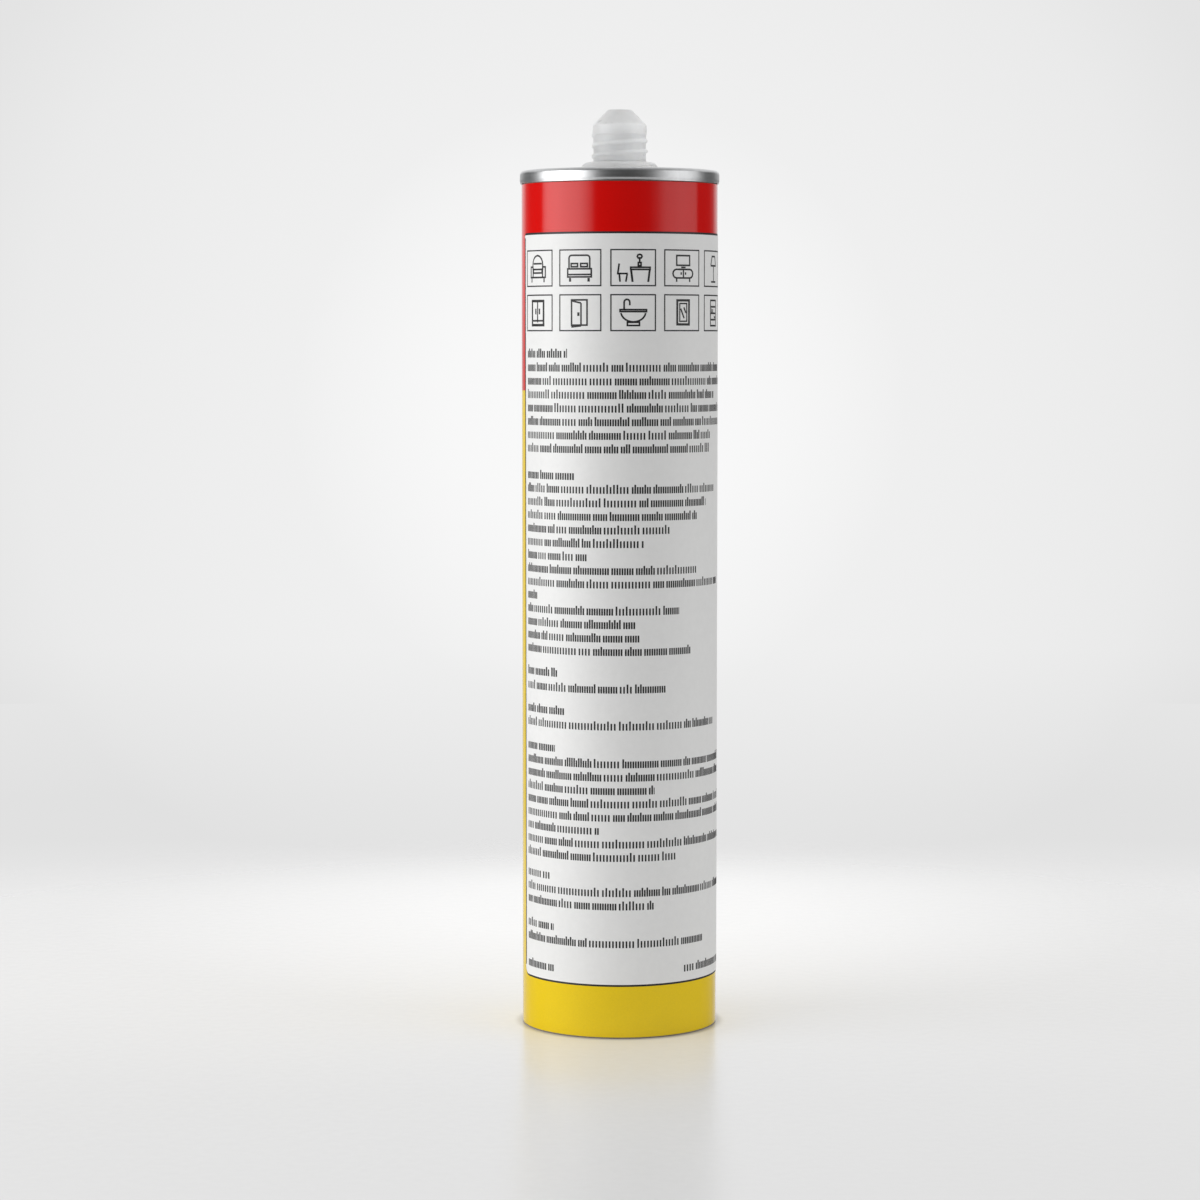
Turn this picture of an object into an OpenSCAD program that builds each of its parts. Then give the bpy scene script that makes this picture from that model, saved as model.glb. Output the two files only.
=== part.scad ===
// Round cartridge for a thick sealant or adhesive, standing on its open base.
// A wound board barrel is closed at the top by a seamed metal end that carries a threaded spout,
// and a ribbed plunger slides up the barrel from below. +Z is up, the origin is the base's centre.

/* [Barrel] */
// Inside diameter of the barrel, which the plunger runs in
bore_d = 47.6; // [42:0.2:52]
// Thickness of the wound board wall
wall_t = 0.7; // [0.5:0.05:1.2]
// Height from the base to the top of the seam
barrel_h = 215.9; // [190:0.1:260]
// How much the open mouth is eased past the bore, on the radius
mouth_ease = 0.15; // [0.1:0.05:0.3]
// Length of the eased mouth
mouth_h = 14; // [8:0.5:14.5]

/* [Printed wrap] */
// Thickness of the printed paper wrap
wrap_t = 0.15; // [0.1:0.01:0.3]
// Height of the base's bare board below the wrap
wrap_gap = 0.3; // [0.2:0.1:1]
// Height of the upper colour, down from the wrap's top edge
upper_field_h = 51.5; // [20:0.5:120]

/* [Label] */
// Thickness of the label sheet
label_t = 0.1; // [0.06:0.01:0.15]
// Thickness of the glue between the label and the wrap
glue_t = 0.05; // [0.03:0.01:0.1]
// Height of the wrap's plain band below the label
lower_band_h = 13.6; // [8:0.1:40]
// Height of the wrap's plain band between the label and the seam
upper_band_h = 13; // [8:0.1:40]
// Angle of the label's left edge from the front
label_left = 72.5; // [30:0.5:120]
// Angle of the label's right edge from the front
label_right = 96; // [30:0.5:120]
// Radius of the label's lower corners
lower_corner_r = 2; // [0.5:0.1:5]
// Radius of the label's upper corners
upper_corner_r = 0.5; // [0.3:0.1:5]

/* [Seamed end] */
// Thickness of the sheet metal
sheet_t = 0.3; // [0.2:0.05:0.35]
// Height of the seam's outer wall and crown together
seam_h = 3.2; // [2.8:0.1:4]
// How far the seam stands out past the wrap
seam_out = 0.45; // [0.4:0.05:0.8]
// How far the seam presses the board's end in, on the radius
seam_bite = 0.2; // [0.1:0.05:0.3]
// Depth of the countersink's floor below the seam's top
sink_depth = 5.6; // [5:0.1:8]
// Width of the countersink's floor
sink_w = 1.9; // [1.7:0.1:3]
// Depth of the end's panel below the seam's top
panel_depth = 3.2; // [2.6:0.1:3.4]
// Depth of the raised pad below the seam's top
pad_depth = 1.3; // [0.8:0.1:1.8]
// Diameter of the raised pad
pad_d = 26; // [23:0.5:30]

/* [Spout] */
// Height of the closed tip above the seam's top
spout_rise = 15.3; // [13:0.1:22]
// Diameter of the flat on the closed tip
tip_d = 6; // [4:0.1:8]
// Thickness of the skin that closes the tip
tip_skin = 1.1; // [0.6:0.1:2]
// Diameter of the plain band that guides a nozzle
pilot_d = 13.64; // [13.4:0.02:14]
// Length of the plain band
pilot_h = 2.3; // [1.5:0.1:3]
// Diameter at the root of the thread
root_d = 13.24; // [12.8:0.02:13.3]
// Diameter over the crest of the thread
crest_d = 14.12; // [14.04:0.02:14.6]
// Rise of the thread in one turn
thread_pitch = 2.61; // [2.2:0.01:2.8]
// Number of turns, with the run in and the run out
thread_turns = 2.39; // [1.5:0.01:2.5]
// Diameter of the passage through the spout
passage_d = 10.4; // [8:0.1:10.8]
// Diameter of the base flange
flange_d = 19.8; // [19:0.1:22]
// Height of the flange's top above the seam's top
flange_rise = 2.25; // [1:0.05:2.5]
// Radius of the flange's upper edge
flange_round = 2.2; // [0.4:0.1:2.6]
// Diameter of the neck in the metal end's hole
neck_d = 15.2; // [14.4:0.1:16]
// Diameter of the lip that holds the spout from inside
lip_d = 18.4; // [17:0.1:20]
// Thickness of that lip
lip_h = 1.2; // [0.8:0.1:2]

/* [Plunger] */
// Length of the plunger
plunger_h = 22; // [18:0.5:28]
// Height of the plunger's open end above the base
plunger_rise = 16; // [15.5:0.5:30]
// Clearance between the plunger's lips and the bore, on the radius
lip_gap = 0.05; // [0.02:0.01:0.1]
// How far the plunger's body stands back behind its lips
body_relief = 0.65; // [0.3:0.05:1]
// Wall of the plunger's skirt
skirt_t = 1.5; // [1:0.1:2.2]
// Thickness of the plunger's front web
web_t = 2.2; // [1.5:0.1:3]
// Depth of the plain cup, from the open end to the ribs
cup_h = 12; // [8:0.5:13]
// Number of ribs under the web
rib_count = 8; // [4:1:12]
// Thickness of a rib
rib_t = 1.4; // [0.8:0.1:2.4]
// Diameter of the boss at the ribs' centre
boss_d = 9; // [6:0.5:14]

/* [Fill] */
// Clearance between the fill and the bore, on the radius
fill_gap = 0.1; // [0.05:0.05:0.3]
// Clearance between the fill and the metal end's lowest face
fill_headroom = 0.3; // [0.2:0.1:1]

/* [Hidden] */
$fn = 96;

bore_r = bore_d / 2;
tube_r = bore_r + wall_t;
wrap_r = tube_r + wrap_t;
seam_z = barrel_h - seam_h;

// The board ends under the seam's crown, the wrap just below the seam's skirt
seam_room = 0.9;
wrap_room = 0.2;
tube_top = barrel_h - seam_room;
wrap_top = seam_z - wrap_room;
colour_z = wrap_top - upper_field_h;
mouth_lead = 1;
base_break = 0.2;

label_in_r = wrap_r + glue_t;
label_z = lower_band_h;
label_top = seam_z - upper_band_h;
label_start = -90 - label_left;
label_sweep = label_left + label_right;

// Levels on the middle of the sheet
sheet_mid = sheet_t / 2;
crown_z = barrel_h - sheet_mid;
sink_z = barrel_h - sink_depth + sheet_mid;
panel_z = barrel_h - panel_depth - sheet_mid;
pad_z = barrel_h - pad_depth - sheet_mid;
chuck_r = bore_r - sheet_mid;
skirt_r = wrap_r + seam_out - sheet_mid;
inner_bend = 0.4;
sink_bend = 0.6;
panel_bend = 0.5;
pinch_h = 0.35;
pad_slope = 1.6;
hole_r = neck_d / 2;

spout_top = barrel_h + spout_rise;
spout_seat = barrel_h - pad_depth;
flange_top = barrel_h + flange_rise;
tip_r = tip_d / 2;
pilot_r = pilot_d / 2;
root_r = root_d / 2;
crest_r = crest_d / 2;
passage_r = passage_d / 2;
tip_passage_r = 1.6;
cone_z = spout_top - (pilot_r - tip_r);
pilot_z = cone_z - pilot_h;
root_fillet = 0.5;
pilot_step = pilot_r - root_r;

// The ridge's middle starts just above the flange, at the back
thread_rise = 0.85;
thread_z = flange_top + thread_rise;
thread_start = 90;
ridge_crest_w = 0.6;
ridge_root_w = 1.25;
ridge_sunk = 0.4;
ridge_fade = 50;
ridge_step = 10;

plunger_top = plunger_rise + plunger_h;
lip_r = bore_r - lip_gap;
body_r = lip_r - body_relief;
cup_r = body_r - skirt_t;
web_z = plunger_top - web_t;
rib_z = plunger_rise + cup_h;

fill_top = barrel_h - sink_depth - fill_headroom;

// Points along a round stretch, from one angle to another
function arc(centre, r, from, to, steps = 6) =
    [for (i = [0:steps]) let (a = from + (to - from) * i / steps) centre + r * [cos(a), sin(a)]];

function unit(v) = v / norm(v);
function left_of(v) = [-v.y, v.x];

// The mitred side step at a bend between two stretches of a path
function mitre(a, b, c) =
    let (n = unit(left_of(b - a)), m = unit(n + unit(left_of(c - b))))
    m / (m * n);

function side_step(path, i) =
    let (last = len(path) - 1)
    i == 0 ? unit(left_of(path[1] - path[0]))
    : i == last ? unit(left_of(path[last] - path[last - 1]))
    : mitre(path[i - 1], path[i], path[i + 1]);

// The outline of a sheet of thickness t that follows a path along its middle
function sheet_outline(path, t) =
    let (last = len(path) - 1)
    concat(
        [for (i = [0:last]) path[i] + side_step(path, i) * t / 2],
        [for (i = [last:-1:0]) path[i] - side_step(path, i) * t / 2]
    );

module ring(outer_r, inner_r, bottom, top) {
    translate([0, 0, bottom])
        difference() {
            cylinder(r = outer_r, h = top - bottom);
            translate([0, 0, -1]) cylinder(r = inner_r, h = top - bottom + 2);
        }
}

// Wound board with a foil lining, eased at its open mouth
module tube() {
    mouth_r = bore_r + mouth_ease;
    color("#8f8c88")
        rotate_extrude()
            polygon([
                [mouth_r + base_break, 0],
                [tube_r, 0],
                [tube_r, wrap_top],
                [tube_r - seam_bite, wrap_top + seam_bite],
                [tube_r - seam_bite, tube_top],
                [bore_r, tube_top],
                [bore_r, mouth_h + mouth_lead],
                [mouth_r, mouth_h],
                [mouth_r, base_break]
            ]);
}

module printed_wrap() {
    color("#b80a06") ring(wrap_r, tube_r, colour_z, wrap_top);
    color("#cbaa18") ring(wrap_r, tube_r, wrap_gap, colour_z);
}

// What a rounded corner leaves off a square one, seen along the radius. Its end facets run on past the edges.
module corner_waste(r) {
    over = 0.5;
    depth = 4;
    steps = 6;
    round = arc([r, r], r, 270, 180, steps);
    run_in = round[0] + over * unit(round[0] - round[1]);
    run_out = round[steps] + over * unit(round[steps] - round[steps - 1]);
    rotate([90, 0, 90])
        linear_extrude(depth, center = true)
            polygon(concat([[-2 * over, -2 * over], run_in], [for (i = [1:steps - 1]) round[i]], [run_out]));
}

module info_label() {
    color("#f0efec")
        difference() {
            rotate([0, 0, label_start])
                rotate_extrude(angle = label_sweep)
                    translate([label_in_r, label_z]) square([label_t, label_top - label_z]);
            for (side = [0, 1])
                rotate([0, 0, label_start + side * label_sweep])
                    mirror([0, side, 0]) {
                        translate([label_in_r, 0, label_z]) corner_waste(lower_corner_r);
                        translate([label_in_r, 0, label_top]) mirror([0, 0, 1]) corner_waste(upper_corner_r);
                    }
        }
}

// One sheet: pinched skirt, crown, wall down into the countersink, panel and raised pad
module top_end() {
    crown_r = chuck_r + inner_bend;
    outer_bend = skirt_r - crown_r;
    sink_in_r = chuck_r - sink_w;
    panel_r = sink_in_r - panel_bend;
    pad_r = pad_d / 2;
    path = concat(
        [[wrap_r + sheet_mid, seam_z], [wrap_r + sheet_mid, seam_z + pinch_h]],
        [[skirt_r, seam_z + 2 * pinch_h]],
        arc([crown_r, crown_z - outer_bend], outer_bend, 0, 90),
        arc([crown_r, crown_z - inner_bend], inner_bend, 110, 180, 4),
        arc([chuck_r - sink_bend, sink_z + sink_bend], sink_bend, 0, -90),
        arc([sink_in_r + sink_bend, sink_z + sink_bend], sink_bend, -90, -180),
        arc([panel_r, panel_z - panel_bend], panel_bend, 0, 90),
        [[pad_r + pad_slope, panel_z], [pad_r, pad_z], [hole_r, pad_z]]
    );
    color("#c9ccd0") rotate_extrude() polygon(sheet_outline(path, sheet_t));
}

// Four points across the ridge at one angle, its crest sinking into the root at both ends
function ridge_points(a, last) =
    let (
        fade = min(1, a / ridge_fade, (last - a) / ridge_fade),
        sunk_r = root_r - ridge_sunk,
        top_r = sunk_r + (crest_r - sunk_r) * fade,
        flank = (ridge_root_w - ridge_crest_w) / 2 / (crest_r - root_r),
        half_top = ridge_crest_w / 2,
        half_foot = ridge_root_w / 2 + flank * ridge_sunk,
        z = thread_z + thread_pitch * a / 360
    )
    [for (p = [[sunk_r, -half_foot], [top_r, -half_top], [top_r, half_top], [sunk_r, half_foot]])
        [p[0] * cos(thread_start + a), p[0] * sin(thread_start + a), z + p[1]]];

// Right-hand, single-start ridge, its foot sunk into the spout's wall
module thread_ridge() {
    last = ridge_step * round(thread_turns * 360 / ridge_step);
    stations = last / ridge_step;
    points = [for (i = [0:stations]) each ridge_points(max(0.01, min(last - 0.01, i * ridge_step)), last)];
    end = 4 * stations;
    sides = [
        for (i = [0:stations - 1])
            for (j = [0:3])
                let (k = (j + 1) % 4)
                each [
                    [4 * i + j, 4 * i + 4 + k, 4 * i + 4 + j],
                    [4 * i + j, 4 * i + k, 4 * i + 4 + k]
                ]
    ];
    caps = [[0, 2, 1], [0, 3, 2], [end, end + 1, end + 2], [end, end + 2, end + 3]];
    polyhedron(points, concat(sides, caps));
}

module spout_wall() {
    flange_r = flange_d / 2;
    lip_top = spout_seat - sheet_t;
    passage_top = cone_z - tip_skin;
    rotate_extrude()
        polygon(concat(
            [[passage_r, lip_top - lip_h], [lip_d / 2, lip_top - lip_h], [lip_d / 2, lip_top]],
            [[hole_r, lip_top], [hole_r, spout_seat], [flange_r, spout_seat]],
            arc([flange_r - flange_round, flange_top - flange_round], flange_round, 0, 90),
            arc([root_r + root_fillet, flange_top + root_fillet], root_fillet, 270, 180, 4),
            [[root_r, pilot_z - pilot_step], [pilot_r, pilot_z], [pilot_r, cone_z], [tip_r, spout_top]],
            [[0, spout_top], [0, spout_top - tip_skin], [tip_passage_r, spout_top - tip_skin]],
            [[passage_r, passage_top]]
        ));
}

module spout() {
    color("#dfddd2") {
        spout_wall();
        thread_ridge();
    }
}

module adhesive() {
    color("#cdbf9c")
        translate([0, 0, plunger_top]) cylinder(r = bore_r - fill_gap, h = fill_top - plunger_top);
}

// Skirt with two wiping beads, and a thin flared lip around the front web
module plunger_shell() {
    bead_rise = 0.7;
    bead_land = 1.2;
    lip_t = 0.9;
    groove_depth = 2.8;
    flare_h = 5;
    cup_step = 0.4;
    web_bevel = 1.6;
    mid_z = plunger_rise + plunger_h / 2 - bead_rise - bead_land;
    rotate_extrude()
        polygon([
            [cup_r, plunger_rise],
            [body_r, plunger_rise],
            [lip_r, plunger_rise + bead_rise],
            [lip_r, plunger_rise + bead_rise + bead_land],
            [body_r, plunger_rise + 2 * bead_rise + bead_land],
            [body_r, mid_z],
            [lip_r, mid_z + bead_rise],
            [lip_r, mid_z + bead_rise + bead_land],
            [body_r, mid_z + 2 * bead_rise + bead_land],
            [body_r, plunger_top - flare_h],
            [lip_r, plunger_top - bead_land],
            [lip_r, plunger_top],
            [lip_r - lip_t, plunger_top],
            [cup_r + cup_step, plunger_top - groove_depth],
            [cup_r - web_bevel / 2, plunger_top - groove_depth],
            [cup_r - web_bevel, plunger_top],
            [0, plunger_top],
            [0, web_z],
            [cup_r - 2 * web_bevel, web_z],
            [cup_r - web_bevel, web_z - web_bevel],
            [cup_r - cup_step, rib_z],
            [cup_r, rib_z]
        ]);
}

module plunger() {
    rib_into_wall = 0.5;
    color("#e9e7e0")
        union() {
            plunger_shell();
            translate([0, 0, rib_z]) cylinder(d = boss_d, h = web_z - rib_z + web_t / 2);
            intersection() {
                translate([0, 0, rib_z]) cylinder(r = cup_r - rib_into_wall, h = web_z - rib_z + web_t / 2);
                for (i = [0:rib_count - 1])
                    rotate([0, 0, i * 360 / rib_count])
                        translate([0, -rib_t / 2, rib_z]) cube([cup_r, rib_t, plunger_top - rib_z]);
            }
        }
}

tube();
printed_wrap();
info_label();
top_end();
spout();
adhesive();
plunger();
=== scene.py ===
"""Dresses the fixed frame of a filled sealant cartridge: printed barrel, label, seamed metal end, threaded
nozzle stub, fill and piston, and sets the pale studio that it stands in."""

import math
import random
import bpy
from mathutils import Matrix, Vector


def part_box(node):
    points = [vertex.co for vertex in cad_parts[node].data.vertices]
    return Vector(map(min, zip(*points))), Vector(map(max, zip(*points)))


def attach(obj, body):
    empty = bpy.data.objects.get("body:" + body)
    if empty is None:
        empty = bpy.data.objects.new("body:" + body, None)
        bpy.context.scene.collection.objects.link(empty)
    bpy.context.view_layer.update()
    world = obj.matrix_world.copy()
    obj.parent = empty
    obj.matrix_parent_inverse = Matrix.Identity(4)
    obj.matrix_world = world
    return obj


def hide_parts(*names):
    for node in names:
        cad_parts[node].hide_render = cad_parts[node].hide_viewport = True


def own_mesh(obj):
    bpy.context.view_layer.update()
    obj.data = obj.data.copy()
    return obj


bl_info = {
    "name": "Sealant cartridge",
    "version": (1, 0, 0),
    "blender": (4, 5, 0),
    "location": "View3D > Sidebar > Cartridge",
    "description": "Builds the visible pieces of a sealant cartridge round its fixed frame, and its studio",
    "category": "Add Mesh",
}

from functools import partial

import bmesh
import bpy
from mathutils import Vector

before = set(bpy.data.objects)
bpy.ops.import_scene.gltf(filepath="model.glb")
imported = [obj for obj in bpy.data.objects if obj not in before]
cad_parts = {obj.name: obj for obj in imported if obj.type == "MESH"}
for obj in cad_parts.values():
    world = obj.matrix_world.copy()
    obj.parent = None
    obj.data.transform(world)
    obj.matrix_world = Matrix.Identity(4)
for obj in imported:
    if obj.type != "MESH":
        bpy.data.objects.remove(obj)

MM = 0.001
FINE = 1e-4  # merging distance, in the millimetres that pieces are drawn in


def node_size(name):
    """Outer radius, lowest and highest level of a round CAD node, in millimetres."""
    low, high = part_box(name)
    return high.x / MM, low.z / MM, high.z / MM


BARREL_R, _, BARREL_TOP = node_size("tube")
WRAP_R, WRAP_Z, WRAP_TOP = node_size("printed_wrap")
LABEL_R, LABEL_Z, LABEL_TOP = node_size("info_label")
END_R, END_Z, END_TOP = node_size("top_end")
STUB_R, STUB_Z, STUB_TOP = node_size("spout")
FILL_R, FILL_Z, FILL_TOP = node_size("adhesive")
PISTON_R, PISTON_Z, PISTON_TOP = node_size("plunger")


def linear(code):
    """A colour written as sRGB hex, as the linear values that Blender works in."""
    shares = [int(code[i : i + 2], 16) / 255 for i in (1, 3, 5)]
    return tuple(s / 12.92 if s <= 0.04045 else ((s + 0.055) / 1.055) ** 2.4 for s in shares)


def length(name, description, default_mm):
    return bpy.props.FloatProperty(
        name=name,
        description=description,
        default=default_mm * MM,
        min=0.0,
        precision=5,
        subtype="DISTANCE",
        unit="LENGTH",
    )


def colour(name, description, code):
    return bpy.props.FloatVectorProperty(
        name=name, description=description, default=linear(code), size=3, min=0.0, max=1.0, subtype="COLOR"
    )


class CartridgeSizes(bpy.types.PropertyGroup):
    """Sizes of the cartridge's visible pieces that a user may change."""

    board: length("Board", "Wall of the wound board barrel", 0.7)
    mouth_ease: length("Mouth ease", "How far the open mouth is eased past the bore", 0.15)
    colour_edge: length("Colour edge", "Height at which the wrap turns from yellow to red", 161.0)
    label_sheet: length("Label sheet", "Thickness of the label", 0.1)
    ink: length("Ink", "How far the print stands proud of the label", 0.02)
    sheet_metal: length("Sheet metal", "Thickness of the seamed end", 0.3)
    seam_bite: length("Seam bite", "How far the seam presses the board's end in", 0.2)
    seam_height: length("Seam height", "Height of the seamed rim", 3.2)
    thread_pitch: length("Thread pitch", "Rise of the stub's thread in one turn", 2.61)
    thread_height: length("Thread height", "Height of the thread above its root", 0.44)
    rib: length("Rib", "Thickness of the piston's ribs", 1.4)


class CartridgeColours(bpy.types.PropertyGroup):
    """Colours of the cartridge's finishes."""

    red: colour("Red", "Upper field of the printed wrap", "#d80400")
    yellow: colour("Yellow", "Lower field of the printed wrap", "#eecc02")
    paper: colour("Paper", "Label sheet", "#eeeeed")
    ink: colour("Ink", "Print on the label", "#1c1b1d")
    board: colour("Board", "Raw board at the base", "#9b9184")
    tin: colour("Tin", "Tinplate", "#e0e1e2")
    stub: colour("Stub", "Plastic of the nozzle stub", "#e6e6e5")
    fill: colour("Fill", "Sealant", "#cfc19f")
    piston: colour("Piston", "Plastic of the piston", "#ebe9e2")


def sizes():
    return bpy.context.scene.cartridge_sizes


def colours():
    return bpy.context.scene.cartridge_colours


# Drawing


def softened(corners, closed=True, steps=5):
    """An outline of (r, z) or (r, z, radius) corners with each radius drawn as a fillet."""
    count = len(corners)
    points = []
    for i, corner in enumerate(corners):
        here = Vector(corner[:2])
        radius = corner[2] if len(corner) > 2 else 0
        if not radius or (not closed and i in (0, count - 1)):
            points.append(tuple(here))
            continue
        back = (Vector(corners[i - 1][:2]) - here).normalized()
        ahead = (Vector(corners[(i + 1) % count][:2]) - here).normalized()
        half = back.angle(ahead) / 2
        reach = radius / math.tan(half)
        middle = here + (back + ahead).normalized() * radius / math.sin(half)
        arm = here + back * reach - middle
        sweep = arm.angle_signed(here + ahead * reach - middle)
        for k in range(steps + 1):
            cos, sin = math.cos(sweep * k / steps), math.sin(sweep * k / steps)
            points.append((middle.x + arm.x * cos + arm.y * sin, middle.y - arm.x * sin + arm.y * cos))
    return points


def deselect():
    bpy.ops.object.select_all(action="DESELECT")


def select_all():
    """Selects all of the piece that is in edit mode."""
    bpy.ops.mesh.select_all(action="SELECT")


def only(piece):
    deselect()
    piece.select_set(True)
    bpy.context.view_layer.objects.active = piece


def edit(piece):
    only(piece)
    bpy.ops.object.mode_set(mode="EDIT")
    bpy.ops.mesh.select_mode(type="VERT")


def leave():
    bpy.ops.object.mode_set(mode="OBJECT")


def named(name):
    """Names the active object and its mesh, and returns it."""
    piece = bpy.context.active_object
    piece.name = name
    piece.data.name = name
    return piece


def begin(name, primitive_add=bpy.ops.mesh.primitive_plane_add, **settings):
    """A new piece from a primitive, selected all over and in edit mode."""
    deselect()
    primitive_add(**settings)
    piece = named(name)
    edit(piece)
    select_all()
    return piece


def draw_line(name, points):
    """A new piece in edit mode: one vertex, extruded from the first point along the others."""
    piece = begin(name)
    bpy.ops.mesh.merge(type="CENTER")
    bpy.ops.transform.translate(value=points[0])
    for here, ahead in zip(points, points[1:]):
        step = Vector(ahead) - Vector(here)
        bpy.ops.mesh.extrude_region_move(TRANSFORM_OT_translate={"value": step})
    select_all()
    bpy.ops.mesh.remove_doubles(threshold=FINE)
    return piece


def lathe(name, outline, closed=True, steps=224):
    """Turns an (r, z) outline in millimetres once round the Z axis."""
    piece = draw_line(name, [(r, 0, z) for r, z in outline + (outline[:1] if closed else [])])
    bpy.ops.mesh.spin(steps=steps, angle=math.tau, center=(0, 0, 0), axis=(0, 0, 1))
    select_all()
    bpy.ops.mesh.remove_doubles(threshold=FINE)
    bpy.ops.mesh.normals_make_consistent(inside=False)
    leave()
    return piece


def apply_modifier(piece, kind, **settings):
    """Adds one modifier with its settings and applies it."""
    only(piece)
    made = piece.modifiers.new(kind.title(), kind)
    for key, value in settings.items():
        setattr(made, key, value)
    bpy.ops.object.modifier_apply(modifier=made.name)


def unite(piece, other):
    """Makes another closed piece part of this one."""
    apply_modifier(piece, "BOOLEAN", operation="UNION", solver="EXACT", object=other)
    bpy.data.objects.remove(other)


def to_metres(piece, finish, sharp=32):
    """Turns a piece drawn in millimetres into metres, with its place in its mesh, smooths its bends and
    gives it its finish."""
    only(piece)
    piece.scale = (MM, MM, MM)
    bpy.ops.object.transform_apply(location=True, rotation=True, scale=True)
    bpy.ops.object.shade_smooth_by_angle(angle=math.radians(sharp))
    piece.data.materials.append(finish)
    deselect()


def turn_flat(degrees, centre):
    """Turns what is selected about an upright line. Without a window the operator turns the other way."""
    value = -math.radians(degrees)
    bpy.ops.transform.rotate(value=value, orient_axis="Z", orient_type="GLOBAL", center_override=centre)


def select(piece, kind, wanted):
    """Selects the faces, edges or vertices for which wanted holds. The piece is in edit mode."""
    bpy.ops.mesh.select_mode(type=kind)
    bpy.ops.mesh.select_all(action="DESELECT")
    shape = bmesh.from_edit_mesh(piece.data)
    for part in {"FACE": shape.faces, "EDGE": shape.edges, "VERT": shape.verts}[kind]:
        part.select_set(bool(wanted(part)))
    shape.select_flush_mode()
    bmesh.update_edit_mesh(piece.data)


def give_faces(piece, index, wanted):
    """Gives a second finish to the faces for which wanted(face) holds."""
    edit(piece)
    select(piece, "FACE", wanted)
    piece.active_material_index = index
    bpy.ops.object.material_slot_assign()
    leave()


def finish_piece(piece, body, slot, *nodes):
    """Rides the piece on its body and hides the CAD nodes that it stands for. The slot is not used."""
    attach(piece, body)
    if nodes:
        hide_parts(*nodes)


# Flat work that is rolled on the barrel: x is the way round from the front, y the height, z the thickness


def flat_panel(name, left, right, low, high, lower_r=0.0, upper_r=0.0):
    """A flat sheet with rounded corners, left in edit mode."""
    piece = begin(name, size=1)
    bpy.ops.transform.resize(value=(right - left, high - low, 1), center_override=(0, 0, 0))
    middle = (low + high) / 2
    bpy.ops.transform.translate(value=((left + right) / 2, middle, 0))
    for radius, side in ((lower_r, -1), (upper_r, 1)):
        if radius:
            select(piece, "VERT", lambda v, side=side: (v.co.y - middle) * side > (high - low) / 2 - FINE)
            bpy.ops.mesh.bevel(offset=radius, segments=6, affect="VERTICES")
    return piece


def cut_columns(left, right, step):
    """Cuts the flat work across into columns, so that it bends smoothly."""
    count = max(1, math.ceil((right - left) / step))
    for i in range(1, count):
        select_all()
        place = left + (right - left) * i / count
        bpy.ops.mesh.bisect(plane_co=(place, 0, 0), plane_no=(1, 0, 0), threshold=FINE)


def roll(piece, radius, proud=0.0):
    """Rolls flat work round the barrel, with the front at -Y. Its z and proud are added to the radius."""
    for point in piece.data.vertices:
        angle = point.co.x / radius
        out = radius + proud + point.co.z
        point.co = (out * math.sin(angle), -out * math.cos(angle), point.co.y)
    piece.data.update()


# Materials

NOISE_SPAN = {"From Min": 0.3, "From Max": 0.7}  # nearly all of a noise lies between these


def add_node(tree, kind, sockets=None, stops=None, **settings):
    """Adds one shader node: its settings, its sockets (a value, or an output to link) and a ramp's stops.
    Gives the node's outputs."""
    made = tree.nodes.new("ShaderNode" + kind)
    for key, value in settings.items():
        setattr(made, key, value)
    for key, value in (sockets or {}).items():
        socket = made.inputs[key]
        if isinstance(value, bpy.types.NodeSocket):
            tree.links.new(value, socket)
        else:
            socket.default_value = value
    if stops:
        ramp = made.color_ramp
        while len(ramp.elements) < len(stops):
            ramp.elements.new(0.5)
        for element, (place, shade) in zip(ramp.elements, stops):
            element.position = place
            element.color = shade if hasattr(shade, "__len__") else (shade, shade, shade, 1)
    return made.outputs


def empty_nodes(owner):
    """Clears the nodes of a material, light or world, and gives the function that adds new ones to it."""
    owner.use_nodes = True
    owner.node_tree.nodes.clear()
    return partial(add_node, owner.node_tree)


def new_material(name):
    """An empty material, and the function that adds its nodes."""
    material = bpy.data.materials.new(name)
    return material, empty_nodes(material)


def opaque(shade, share=1):
    """A share of a linear colour, with full alpha."""
    return (shade[0] * share, shade[1] * share, shade[2] * share, 1.0)


def per_metre(size_mm):
    """The scale of a pattern whose features are size_mm across."""
    return 1 / (size_mm * MM)


def cloudy(add, shade, darkest, grain_mm, detail, rough=0.5, palest=1, span=(0.3, 0.7)):
    """Noise with grains of the given size, and the shade as that noise darkens it in clouds."""
    place = add("TexCoord")["Object"]
    grain = {"Scale": per_metre(grain_mm), "Detail": detail, "Roughness": rough}
    noise = add("TexNoise", {"Vector": place, **grain})["Fac"]
    stops = [(span[0], opaque(shade, darkest)), (span[1], opaque(shade, palest))]
    return noise, add("ValToRGB", {"Fac": noise}, stops=stops)["Color"]


def lap_line(add, place, width_mm, **settings):
    """1 on the laps of the board's spiral strips, which stand 70 mm apart, and 0 past a lap's width."""
    rise = 70 * MM
    axes = add("SeparateXYZ", {"Vector": place})
    around = add("Math", {0: axes["Y"], 1: axes["X"]}, operation="ARCTAN2")
    climb = add("Math", {0: around[0], 1: rise / math.tau, 2: axes["Z"]}, operation="MULTIPLY_ADD")
    cycle = add("Math", {0: climb[0], 1: rise / 2}, operation="PINGPONG")
    fall = {"Value": cycle[0], "From Max": width_mm * MM, "To Min": 1.0, "To Max": 0.0}
    return add("MapRange", fall, **settings)["Result"]


def bumpy_skin(add, sockets, height, strength, depth_mm):
    """The material's shader and output, with a skin that rises and falls with the height."""
    bump = add("Bump", {"Height": height, "Strength": strength, "Distance": depth_mm * MM})
    shader = add("BsdfPrincipled", {**sockets, "Normal": bump["Normal"]})
    add("OutputMaterial", {"Surface": shader[0]})


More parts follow.
